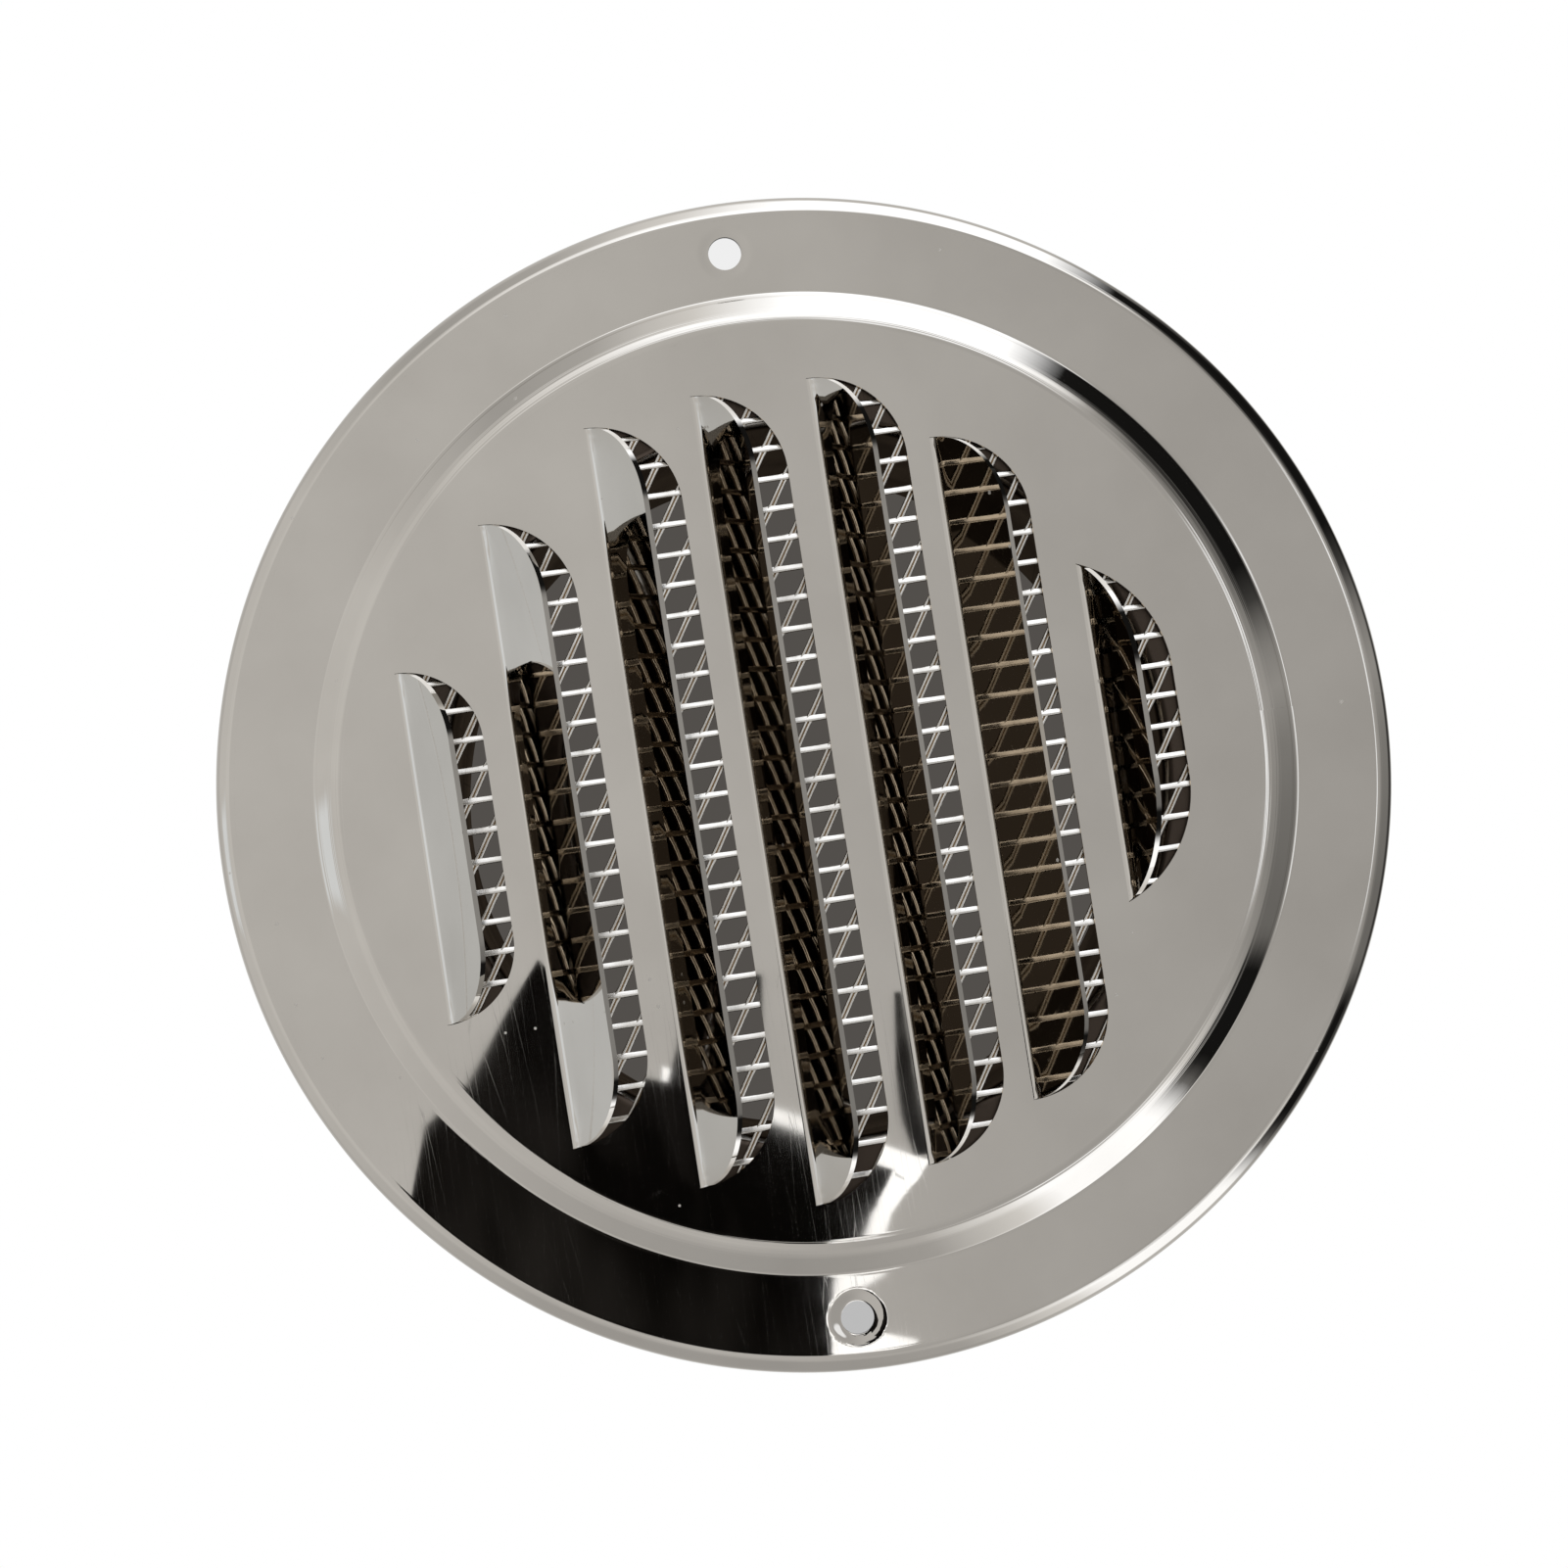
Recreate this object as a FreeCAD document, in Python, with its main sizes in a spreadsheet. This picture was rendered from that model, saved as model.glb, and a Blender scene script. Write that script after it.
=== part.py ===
# Round louvred vent cover: a pressed sheet face plate with seven lanced louvre flaps,
# an expanded-metal insect mesh behind it, and a flanged duct collar at the back.
# Millimetres. +Z is up as fixed to a wall, -Y is the room side, y = 0 is the wall,
# and the Y axis is the axis of the duct.
import FreeCAD, Part
import math
import os
import Sketcher

V = FreeCAD.Vector
START, END, CENTRE = range(1, 4)
ORIGIN, VERTICAL_AXIS = range(-1, -3, -1)
LOUVRES = 7

SIZES = [
    ("outer_radius", 80.0, "face plate, outside of the rim"),
    ("sheet", 0.8, "face plate sheet thickness"),
    ("rim_depth", 4.0, "wall to the front of the flange"),
    ("rim_bend", 2.5, "outside radius of the rolled-back rim"),
    ("plateau_radius", 61.8, "flat raised middle"),
    ("step_run", 5.0, "width of the S-shaped step round the middle"),
    ("step_rise", 2.0, "height of the step"),
    ("screw_inset", 7.3, "outside of the rim to the middle of a screw hole"),
    ("screw_radius", 2.25, "screw hole"),
    ("left_hole_turn", 3.4, "degrees the left hole sits above the level line"),
    ("fold_1", 52.8, "height of each fold above the duct axis, from the top louvre down"),
    ("fold_2", 38.7, ""),
    ("fold_3", 22.65, ""),
    ("fold_4", 7.7, ""),
    ("fold_5", -8.2, ""),
    ("fold_6", -23.5, ""),
    ("fold_7", -40.5, ""),
    ("slide_1", -1.3, "how far each louvre's middle sits to the right of the axis"),
    ("slide_2", -1.7, ""),
    ("slide_3", -0.2, ""),
    ("slide_4", -1.5, ""),
    ("slide_5", 0.1, ""),
    ("slide_6", -1.9, ""),
    ("slide_7", 0.3, ""),
    ("length_1", 47.9, "length of each fold"),
    ("length_2", 85.0, ""),
    ("length_3", 103.7, ""),
    ("length_4", 110.6, ""),
    ("length_5", 107.6, ""),
    ("length_6", 90.7, ""),
    ("length_7", 46.4, ""),
    ("width_1", 10.5, "fold to cut edge, in the flat sheet"),
    ("width_2", 11.8, ""),
    ("width_3", 11.8, ""),
    ("width_4", 11.6, ""),
    ("width_5", 12.0, ""),
    ("width_6", 12.0, ""),
    ("width_7", 10.8, ""),
    ("flap_angle_1", 54.0, "degrees each flap is bent out"),
    ("flap_angle_2", 52.0, ""),
    ("flap_angle_3", 57.0, ""),
    ("flap_angle_4", 57.0, ""),
    ("flap_angle_5", 55.0, ""),
    ("flap_angle_6", 48.5, ""),
    ("flap_angle_7", 65.0, ""),
    ("corner_round_last", 17.3, "free corners of the arched bottom louvre; the others are quarter rounds"),
    ("flap_bend", 1.3, "inside radius of the fold"),
    ("cut_gap", 0.15, "shear gap round a flap"),
    ("mesh_play", 0.4, "edge of the mesh to the edge of the raised middle"),
    ("mesh_radius", "=plateau_radius - mesh_play", "insect mesh"),
    ("mesh_thick", 1.0, ""),
    ("mesh_side", 11.4, "side of one diamond, strand centre to strand centre"),
    ("mesh_angle", 57.0, "degrees between the two strand directions"),
    ("mesh_strand", 1.3, "strand width"),
    ("mesh_border", 3.0, "plain border clamped under the collar flange"),
    ("collar_radius", 49.0, "duct collar, outside"),
    ("collar_wall", 0.6, ""),
    ("collar_reach", 55.0, "wall to the end of the collar"),
    ("collar_bend", 1.2, "outside fold of the collar flange"),
    ("flange_lap", 0.4, "how far the collar flange reaches past the raised middle"),
    ("collar_flange", "=plateau_radius + flange_lap", "outer radius of the collar flange"),
]

doc = FreeCAD.newDocument("vent_cover")


def make_sheet():
    """Write every driving size to the spreadsheet, with its alias."""
    sheet = doc.addObject("Spreadsheet::Sheet", "Dims")
    for row, (alias, value, note) in enumerate(SIZES, start=1):
        sheet.set(f"A{row}", alias)
        sheet.set(f"B{row}", str(value))
        sheet.set(f"C{row}", note)
        sheet.setAlias(f"B{row}", alias)
    doc.recompute()
    return sheet


dims = make_sheet()


def size(alias):
    """Value of one cell, for placing sketch geometry before it is constrained."""
    return float(dims.get(alias))


def add_body(label):
    body = doc.addObject("PartDesign::Body", label)
    body.Label = label
    return body


def add_sketch(body, name, role):
    """A sketch on one of the body's own origin planes."""
    plane = next(item for item in body.Origin.OriginFeatures if item.Role == role)
    sketch = body.newObject("Sketcher::SketchObject", name)
    sketch.AttachmentSupport = [(plane, "")]
    sketch.MapMode = "FlatFace"
    return sketch


def line(sketch, a, b, construction=False):
    return sketch.addGeometry(Part.LineSegment(V(*a, 0), V(*b, 0)), construction)


def loop(sketch, points):
    """Closed outline of straight lines through the points, joined end to start."""
    count = len(points)
    sides = [line(sketch, points[k], points[(k + 1) % count]) for k in range(count)]
    for k in range(count):
        rule(sketch, "Coincident", sides[k], END, sides[(k + 1) % count], START)
    return sides


def arc(sketch, centre, radius, first, last):
    """Counter-clockwise arc between two angles in degrees."""
    circle = Part.Circle(V(*centre, 0), V(0, 0, 1), radius)
    return sketch.addGeometry(Part.ArcOfCircle(circle, math.radians(first), math.radians(last)))


def rule(sketch, kind, *where):
    sketch.addConstraint(Sketcher.Constraint(kind, *where))


def measure(sketch, kind, where, name, expression, value):
    """A named dimension bound to the spreadsheet."""
    index = sketch.addConstraint(Sketcher.Constraint(kind, *where, value))
    sketch.renameConstraint(index, name)
    sketch.setExpression("Constraints." + name, expression)


def volume(body):
    return 0.0 if body.Shape.isNull() else body.Shape.Volume


def cut_or_stop(body, feature, before):
    """Recompute, and stop if a feature that should change the volume did not."""
    doc.recompute()
    if abs(volume(body) - before) < 1e-3:
        raise RuntimeError(feature.Name + " changed nothing")


# Face plate

plateau = size("rim_depth") + size("step_rise")
PLATEAU = "(Dims.rim_depth + Dims.step_rise)"
SCREW_REACH = "(Dims.outer_radius - Dims.screw_inset)"


def draw_cap_section(sketch):
    """Half section of the pressed plate as a solid cap, before it is shelled to a sheet.

    The step and the rolled rim are each three short flats that stay within 0.15 mm of the bend."""
    edge, run, rise = size("plateau_radius"), size("step_run"), size("step_rise")
    flange, outer, bend = size("rim_depth"), size("outer_radius"), size("rim_bend")
    near, far = math.sin(math.radians(30)), 1 - math.cos(math.radians(30))
    axis, middle, crest, slope, foot, flat, roll, turn, lip, skirt, back = loop(sketch, [
        (0, 0), (0, -plateau), (edge, -plateau),
        (edge + 0.48 * run, 0.23 * rise - plateau), (edge + 0.94 * run, -flange - 0.03 * rise),
        (edge + run, -flange), (outer - bend, -flange),
        (outer - bend + near * bend, far * bend - flange), (outer - far * bend, near * bend - flange),
        (outer, bend - flange), (outer, 0)])
    rule(sketch, "Coincident", axis, START, ORIGIN, START)
    rule(sketch, "Vertical", axis)
    rule(sketch, "Horizontal", middle)
    rule(sketch, "Horizontal", flat)
    rule(sketch, "Vertical", skirt)
    rule(sketch, "Horizontal", back)
    measure(sketch, "DistanceY", (axis, END, axis, START), "plateau", PLATEAU, plateau)
    measure(sketch, "DistanceX", (middle, START, middle, END), "edge", "Dims.plateau_radius", edge)
    measure(sketch, "DistanceX", (middle, END, flat, START), "run", "Dims.step_run", run)
    measure(sketch, "DistanceY", (flat, START, back, END), "flange", "Dims.rim_depth", flange)
    measure(sketch, "DistanceX", (back, END, back, START), "outer", "Dims.outer_radius", outer)
    measure(sketch, "DistanceX", (crest, START, crest, END), "crest_run", "0.48 * Dims.step_run", 0.48 * run)
    measure(sketch, "DistanceY", (crest, START, crest, END),
            "crest_rise", "0.23 * Dims.step_rise", 0.23 * rise)
    measure(sketch, "DistanceX", (foot, START, foot, END), "foot_run", "0.06 * Dims.step_run", 0.06 * run)
    measure(sketch, "DistanceY", (foot, START, foot, END), "foot_rise", "0.03 * Dims.step_rise", 0.03 * rise)
    measure(sketch, "DistanceX", (flat, END, skirt, START), "rim_run", "Dims.rim_bend", bend)
    measure(sketch, "DistanceY", (flat, END, skirt, START), "rim_rise", "Dims.rim_bend", bend)
    long, short = "Dims.rim_bend * sin(30 deg)", "Dims.rim_bend * (1 - cos(30 deg))"
    measure(sketch, "DistanceX", (roll, START, roll, END), "roll_run", long, near * bend)
    measure(sketch, "DistanceY", (roll, START, roll, END), "roll_rise", short, far * bend)
    measure(sketch, "DistanceX", (lip, START, lip, END), "lip_run", short, far * bend)
    measure(sketch, "DistanceY", (lip, START, lip, END), "lip_rise", long, near * bend)


def corner(number):
    """Alias of the radius of one louvre's free corners."""
    return "corner_round_last" if number == LOUVRES else f"width_{number}"


def edge_half(number):
    """Expression for half the straight free edge, from the fold length and the corners."""
    radius = "Dims." + corner(number)
    return f"(Dims.length_{number} / 2 - sqrt({radius}^2 - ({radius} - Dims.width_{number})^2))"


def edge_half_value(number):
    radius, width = size(corner(number)), size(f"width_{number}")
    return size(f"length_{number}") / 2 - math.sqrt(radius**2 - (radius - width)**2)


def draw_tongue(sketch, tag, top, depth, radius, half, slide):
    """Louvre outline: straight fold on top, straight free edge below, two round free corners.

    Each of top, depth, radius, half and slide is a pair of an expression and its value now."""
    centre = top[1] - depth[1] + radius[1]
    reach = math.sqrt(radius[1]**2 - (centre - top[1])**2)
    lean = math.degrees(math.asin((top[1] - centre) / radius[1]))
    low, high = slide[1] - half[1], slide[1] + half[1]
    fold = line(sketch, (low - reach, top[1]), (high + reach, top[1]))
    right = arc(sketch, (high, centre), radius[1], -90, lean)
    free = line(sketch, (low, top[1] - depth[1]), (high, top[1] - depth[1]))
    left = arc(sketch, (low, centre), radius[1], 180 - lean, 270)
    rule(sketch, "Coincident", fold, END, right, END)
    rule(sketch, "Tangent", free, END, right, START)
    rule(sketch, "Tangent", left, END, free, START)
    rule(sketch, "Coincident", left, START, fold, START)
    rule(sketch, "Horizontal", fold)
    rule(sketch, "Horizontal", free)
    rule(sketch, "Equal", right, left)
    measure(sketch, "DistanceY", (ORIGIN, START, fold, START), "top" + tag, *top)
    measure(sketch, "DistanceY", (free, END, fold, END), "depth" + tag, *depth)
    measure(sketch, "Radius", (right,), "corner" + tag, *radius)
    measure(sketch, "DistanceX", (ORIGIN, START, free, END), "high" + tag, f"{half[0]} + {slide[0]}", high)
    measure(sketch, "DistanceX", (free, START, ORIGIN, START), "low" + tag, f"{half[0]} - {slide[0]}", -low)


def add_openings(body):
    """All seven louvre openings in one sketch, cut through the raised middle."""
    sketch = add_sketch(body, "louvre_openings", "XZ_Plane")
    for number in range(1, LOUVRES + 1):
        aliases = (f"fold_{number}", f"width_{number}", corner(number))
        draw_tongue(sketch, str(number),
                    *[("Dims." + alias, size(alias)) for alias in aliases],
                    (edge_half(number), edge_half_value(number)),
                    (f"Dims.slide_{number}", size(f"slide_{number}")))
    before = volume(body)
    pocket = body.newObject("PartDesign::Pocket", "louvre_cut")
    pocket.Profile = sketch
    pocket.Type = "ThroughAll"
    pocket.Midplane = True
    cut_or_stop(body, pocket, before)


def add_screw_holes(body):
    """One hole on the level line to the right, one a little above it to the left."""
    sketch = add_sketch(body, "screw_holes", "XZ_Plane")
    reach, turn = size("outer_radius") - size("screw_inset"), math.radians(size("left_hole_turn"))
    spots = [
        ("right", SCREW_REACH, reach, "0", 0.0),
        ("left", f"{SCREW_REACH} * cos(Dims.left_hole_turn * 1 deg)", reach * math.cos(turn),
         f"{SCREW_REACH} * sin(Dims.left_hole_turn * 1 deg)", reach * math.sin(turn)),
    ]
    for side, across, x, above, z in spots:
        x = x if side == "right" else -x
        hole = sketch.addGeometry(Part.Circle(V(x, z, 0), V(0, 0, 1), size("screw_radius")))
        ends = (ORIGIN, START, hole, CENTRE) if side == "right" else (hole, CENTRE, ORIGIN, START)
        measure(sketch, "DistanceX", ends, side + "_across", across, abs(x))
        if side == "right":
            rule(sketch, "PointOnObject", hole, CENTRE, -1)
        else:
            measure(sketch, "DistanceY", (ORIGIN, START, hole, CENTRE), side + "_above", above, z)
        measure(sketch, "Radius", (hole,), side + "_radius", "Dims.screw_radius", size("screw_radius"))
    before = volume(body)
    pocket = body.newObject("PartDesign::Pocket", "screw_cut")
    pocket.Profile = sketch
    pocket.Type = "ThroughAll"
    pocket.Midplane = True
    cut_or_stop(body, pocket, before)


def add_fold(body, number):
    """The rounded fold: the sheet's edge turned about a line in front of the plate."""
    bend, slide = size("flap_bend"), size(f"slide_{number}")
    half = size(f"length_{number}") / 2 - size("cut_gap")
    low, high = slide - half, slide + half
    front, back = -plateau, size("sheet") - plateau
    sketch = add_sketch(body, f"fold_section_{number}", "XY_Plane")
    sketch.setExpression("AttachmentOffset.Base.z", f"Dims.fold_{number}")
    sides = loop(sketch, [(low, front), (high, front), (high, back), (low, back)])
    rule(sketch, "Horizontal", sides[0])
    rule(sketch, "Vertical", sides[1])
    rule(sketch, "Horizontal", sides[2])
    rule(sketch, "Vertical", sides[3])
    pivot = line(sketch, (low, front - bend), (high, front - bend), True)
    rule(sketch, "Horizontal", pivot)
    rule(sketch, "Vertical", pivot, START, sides[0], START)
    rule(sketch, "Vertical", pivot, END, sides[0], END)
    reach = f"Dims.length_{number} / 2 - Dims.cut_gap"
    measure(sketch, "DistanceX", (ORIGIN, START, sides[0], END),
            "high", f"{reach} + Dims.slide_{number}", high)
    measure(sketch, "DistanceX", (sides[0], START, ORIGIN, START),
            "low", f"{reach} - Dims.slide_{number}", -low)
    measure(sketch, "DistanceY", (sides[0], START, ORIGIN, START), "front", PLATEAU, plateau)
    measure(sketch, "DistanceY", (sides[1], START, sides[1], END), "thick", "Dims.sheet", size("sheet"))
    measure(sketch, "DistanceY", (pivot, START, sides[0], START), "bend", "Dims.flap_bend", bend)
    before = volume(body)
    fold = body.newObject("PartDesign::Revolution", f"fold_{number}")
    fold.Profile = sketch
    fold.ReferenceAxis = (sketch, ["Axis0"])
    fold.Reversed = True
    fold.setExpression("Angle", f"Dims.flap_angle_{number}")
    cut_or_stop(body, fold, before)


def add_flap(body, number):
    """The flat tongue beyond the fold, drawn on its own tilted plane."""
    angle = f"(Dims.flap_angle_{number} * 1 deg)"
    taken = f"((Dims.flap_bend + Dims.sheet / 2) * Dims.flap_angle_{number} * pi / 180)"
    turn, gap = math.radians(size(f"flap_angle_{number}")), size("cut_gap")
    taken_value = (size("flap_bend") + size("sheet") / 2) * turn
    sketch = add_sketch(body, f"flap_outline_{number}", "XZ_Plane")
    sketch.AttachmentOffset = FreeCAD.Placement(V(), FreeCAD.Rotation(V(-1, 0, 0), math.degrees(turn)))
    sketch.setExpression("AttachmentOffset.Rotation.Angle", angle)
    sketch.setExpression("AttachmentOffset.Base.y", f"Dims.fold_{number} - Dims.flap_bend * sin({angle})")
    sketch.setExpression("AttachmentOffset.Base.z", f"{PLATEAU} + Dims.flap_bend * (1 - cos({angle}))")
    past_fold = size(f"width_{number}") - taken_value - gap
    draw_tongue(sketch, "", ("0", 0.0),
                (f"(Dims.width_{number} - {taken} - Dims.cut_gap)", past_fold),
                (f"(Dims.{corner(number)} - Dims.cut_gap)", size(corner(number)) - gap),
                (edge_half(number), edge_half_value(number)),
                (f"Dims.slide_{number}", size(f"slide_{number}")))
    before = volume(body)
    flap = body.newObject("PartDesign::Pad", f"flap_{number}")
    flap.Profile = sketch
    flap.Reversed = True
    flap.setExpression("Length", "Dims.sheet")
    cut_or_stop(body, flap, before)


def make_face_plate():
    """Turned cap, shelled to sheet thickness, then pierced for the screws and the louvres."""
    body = add_body("face_plate")
    section = add_sketch(body, "cap_section", "XY_Plane")
    draw_cap_section(section)
    cap = body.newObject("PartDesign::Revolution", "cap")
    cap.Profile = section
    cap.ReferenceAxis = (section, ["V_Axis"])
    cap.Angle = 360
    doc.recompute()
    open_side = max(range(len(cap.Shape.Faces)), key=lambda k: cap.Shape.Faces[k].CenterOfMass.y)
    before = volume(body)
    shell = body.newObject("PartDesign::Thickness", "pressed_sheet")
    shell.Base = (cap, [f"Face{open_side + 1}"])
    shell.Reversed = True
    shell.Join = "Intersection"
    shell.setExpression("Value", "Dims.sheet")
    cut_or_stop(body, shell, before)
    add_screw_holes(body)
    add_openings(body)
    return body


def make_louvre(number):
    """One lanced flap: its rounded fold, which meets the plate's cut edge, and its flat tongue."""
    body = add_body(f"louvre_{number}")
    add_fold(body, number)
    add_flap(body, number)
    return body


# Insect mesh

STRAND_PITCH = "(Dims.mesh_side * sin(Dims.mesh_angle * 1 deg))"
STRAND_COUNT = f"floor(2 * (Dims.mesh_radius - Dims.mesh_border) / {STRAND_PITCH})"


def add_ring(body, name, inner, outer):
    """Two circles round the duct axis, each given as an expression and its value now."""
    sketch = add_sketch(body, name, "XZ_Plane")
    for tag, (expression, value) in (("inner", inner), ("outer", outer)):
        circle = sketch.addGeometry(Part.Circle(V(), V(0, 0, 1), value))
        rule(sketch, "Coincident", circle, CENTRE, ORIGIN, START)
        measure(sketch, "Radius", (circle,), tag, expression, value)
    return sketch


def add_strands(body, name, turn):
    """One family of parallel strands, patterned across the disc; turn is an expression."""
    reach, width = size("mesh_radius"), size("mesh_strand")
    pitch = size("mesh_side") * math.sin(math.radians(size("mesh_angle")))
    count = math.floor(2 * (reach - size("mesh_border")) / pitch)
    first = (count - 1) / 2 * pitch
    sketch = add_sketch(body, name + "_section", "XZ_Plane")
    sketch.setExpression("AttachmentOffset.Rotation.Angle", turn)
    sides = loop(sketch, [(-first - width / 2, -reach), (width / 2 - first, -reach),
                          (width / 2 - first, reach), (-first - width / 2, reach)])
    rule(sketch, "Horizontal", sides[0])
    rule(sketch, "Symmetric", sides[1], START, sides[1], END, ORIGIN)
    rule(sketch, "Horizontal", sides[2])
    rule(sketch, "Vertical", sides[3])
    measure(sketch, "DistanceX", (sides[0], START, sides[0], END), "width", "Dims.mesh_strand", width)
    measure(sketch, "DistanceY", (sides[1], START, sides[1], END),
            "length", "2 * Dims.mesh_radius", 2 * reach)
    offset = f"({STRAND_COUNT} - 1) / 2 * {STRAND_PITCH} - Dims.mesh_strand / 2"
    measure(sketch, "DistanceX", (sides[0], END, ORIGIN, START), "offset", offset, first - width / 2)
    before = volume(body)
    strand = body.newObject("PartDesign::Pad", name + "_strand")
    strand.Profile = sketch
    strand.Reversed = True
    strand.setExpression("Length", "Dims.mesh_thick")
    cut_or_stop(body, strand, before)
    before = volume(body)
    family = body.newObject("PartDesign::LinearPattern", name + "_family")
    family.Originals = [strand]
    family.Direction = (sketch, ["H_Axis"])
    family.setExpression("Length", f"({STRAND_COUNT} - 1) * {STRAND_PITCH}")
    family.setExpression("Occurrences", STRAND_COUNT)
    body.Tip = family
    cut_or_stop(body, family, before)


def make_insect_mesh():
    """Diamond mesh: a border ring, two crossing families of strands, trimmed to a disc."""
    body = add_body("insect_mesh")
    reach, border = size("mesh_radius"), size("mesh_border")
    body.setExpression("Placement.Base.y", f"Dims.sheet - {PLATEAU}")
    ring = body.newObject("PartDesign::Pad", "border")
    ring.Profile = add_ring(body, "border_outline", ("Dims.mesh_radius - Dims.mesh_border", reach - border),
                            ("Dims.mesh_radius", reach))
    ring.Reversed = True
    ring.setExpression("Length", "Dims.mesh_thick")
    doc.recompute()
    add_strands(body, "upright", "0 deg")
    add_strands(body, "slanted", "Dims.mesh_angle * 1 deg")
    before = volume(body)
    trim = body.newObject("PartDesign::Pocket", "trim")
    trim.Profile = add_ring(body, "trim_outline", ("Dims.mesh_radius", reach),
                            ("2 * Dims.mesh_radius", 2 * reach))
    trim.Type = "ThroughAll"
    trim.Midplane = True
    cut_or_stop(body, trim, before)
    return body


# Duct collar

def make_duct_collar():
    """Turned sheet tube with an outward flange that clamps the mesh to the face plate."""
    body = add_body("duct_collar")
    wall, bend = size("collar_wall"), size("collar_bend")
    radius, flange = size("collar_radius"), size("collar_flange")
    seat = size("sheet") + size("mesh_thick") - plateau
    seat_at = f"(Dims.sheet + Dims.mesh_thick - {PLATEAU})"
    length = size("collar_reach") - seat
    body.setExpression("Placement.Base.y", seat_at)
    sketch = add_sketch(body, "collar_section", "XY_Plane")
    deep = wall + bend
    half = math.sin(math.radians(45))
    front, in_a, in_b, bore, end, outside, out_a, out_b, back, lip = loop(sketch, [
        (flange, 0), (radius + bend, 0), (radius + bend - half * deep, deep - half * deep),
        (radius - wall, deep), (radius - wall, length), (radius, length), (radius, deep),
        (radius + bend - half * bend, deep - half * bend), (radius + bend, wall), (flange, wall)])
    rule(sketch, "PointOnObject", front, START, -1)
    for side in (front, end, back):
        rule(sketch, "Horizontal", side)
    for side in (bore, outside, lip):
        rule(sketch, "Vertical", side)
    measure(sketch, "DistanceX", (ORIGIN, START, lip, END), "flange", "Dims.collar_flange", flange)
    measure(sketch, "DistanceX", (ORIGIN, START, outside, START), "radius", "Dims.collar_radius", radius)
    measure(sketch, "DistanceX", (end, START, end, END), "wall", "Dims.collar_wall", wall)
    measure(sketch, "DistanceY", (ORIGIN, START, end, START),
            "length", f"Dims.collar_reach - {seat_at}", length)
    measure(sketch, "DistanceY", (lip, END, lip, START), "lip", "Dims.collar_wall", wall)
    for tag, near, far, mid, value, name in (
            ("outer", outside, back, out_a, bend, "Dims.collar_bend"),
            ("inner", bore, front, in_a, deep, "(Dims.collar_wall + Dims.collar_bend)")):
        tall = (near, START if tag == "inner" else END)
        wide = (far, END if tag == "inner" else START)
        measure(sketch, "DistanceX", (*tall, *wide), tag + "_across", name, value)
        measure(sketch, "DistanceY", (*wide, *tall), tag + "_along", name, value)
        measure(sketch, "DistanceX", (mid, END, *wide),
                tag + "_mid_across", f"{name} * sin(45 deg)", half * value)
        measure(sketch, "DistanceY", (*wide, mid, END), tag + "_mid_along", f"{name} * (1 - sin(45 deg))",
                (1 - half) * value)
    collar = body.newObject("PartDesign::Revolution", "collar")
    collar.Profile = sketch
    collar.ReferenceAxis = (sketch, ["V_Axis"])
    collar.Angle = 360
    doc.recompute()
    return body


def check(bodies):
    """Stop unless every object is up to date and every sub-part is one valid solid."""
    for item in doc.Objects:
        if {"Invalid", "Error"} & set(item.State):
            raise RuntimeError(item.Name + " failed")
    for body in bodies:
        if body.Shape.isNull() or not body.Shape.isValid() or len(body.Shape.Solids) != 1:
            raise RuntimeError(body.Label + " is not one valid solid")


parts = [make_face_plate(), make_insect_mesh(), make_duct_collar()]
parts += [make_louvre(number) for number in range(1, LOUVRES + 1)]
doc.recompute()
check(parts)
os.makedirs("parts", exist_ok=True)
for part in parts:
    part.Shape.exportStep(f"parts/{part.Label}.step")
    print(part.Label, f"{part.Shape.Volume:.1f} mm3")
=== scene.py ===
# %% [markdown]
# # Round louvred vent cover
# The real cover is one disc of mirror-polished stainless sheet. It has a rolled rim, a raised
# middle and seven louvre flaps that were lanced and bent out, with expanded-metal insect mesh
# behind them and a collar at the back that slips into a duct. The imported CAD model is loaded
# first and stays as the frame. Its facets would show in a mirror finish, so each node is
# replaced here by the same shape as a smooth surface worked out with numpy.

# %% Load the frame
import bmesh
import bpy
import math
import numpy as np
from mathutils import Matrix, Vector


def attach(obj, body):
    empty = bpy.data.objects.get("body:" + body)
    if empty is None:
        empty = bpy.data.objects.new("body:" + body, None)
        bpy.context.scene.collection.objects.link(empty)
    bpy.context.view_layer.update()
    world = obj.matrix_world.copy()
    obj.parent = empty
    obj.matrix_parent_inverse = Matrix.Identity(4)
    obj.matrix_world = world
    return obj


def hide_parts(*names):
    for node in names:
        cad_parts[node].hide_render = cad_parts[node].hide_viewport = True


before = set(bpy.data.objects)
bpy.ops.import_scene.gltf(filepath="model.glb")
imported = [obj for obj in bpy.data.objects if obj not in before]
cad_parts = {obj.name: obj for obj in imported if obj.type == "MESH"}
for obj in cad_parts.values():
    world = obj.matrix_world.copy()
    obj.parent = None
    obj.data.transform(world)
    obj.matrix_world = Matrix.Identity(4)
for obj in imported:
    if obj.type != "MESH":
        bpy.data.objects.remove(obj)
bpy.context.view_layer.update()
MM = 0.001
print("CAD nodes:", sorted(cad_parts))

# %% [markdown]
# ## From arrays to pieces
# Every piece is a few grids of points. A grid is a surface with two parameters, so its faces
# follow from the row and column numbers alone. Sheet edges have to stay crisp and bends have to
# stay smooth, so the seams are merged first and edges above an angle are then marked sharp.


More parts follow.
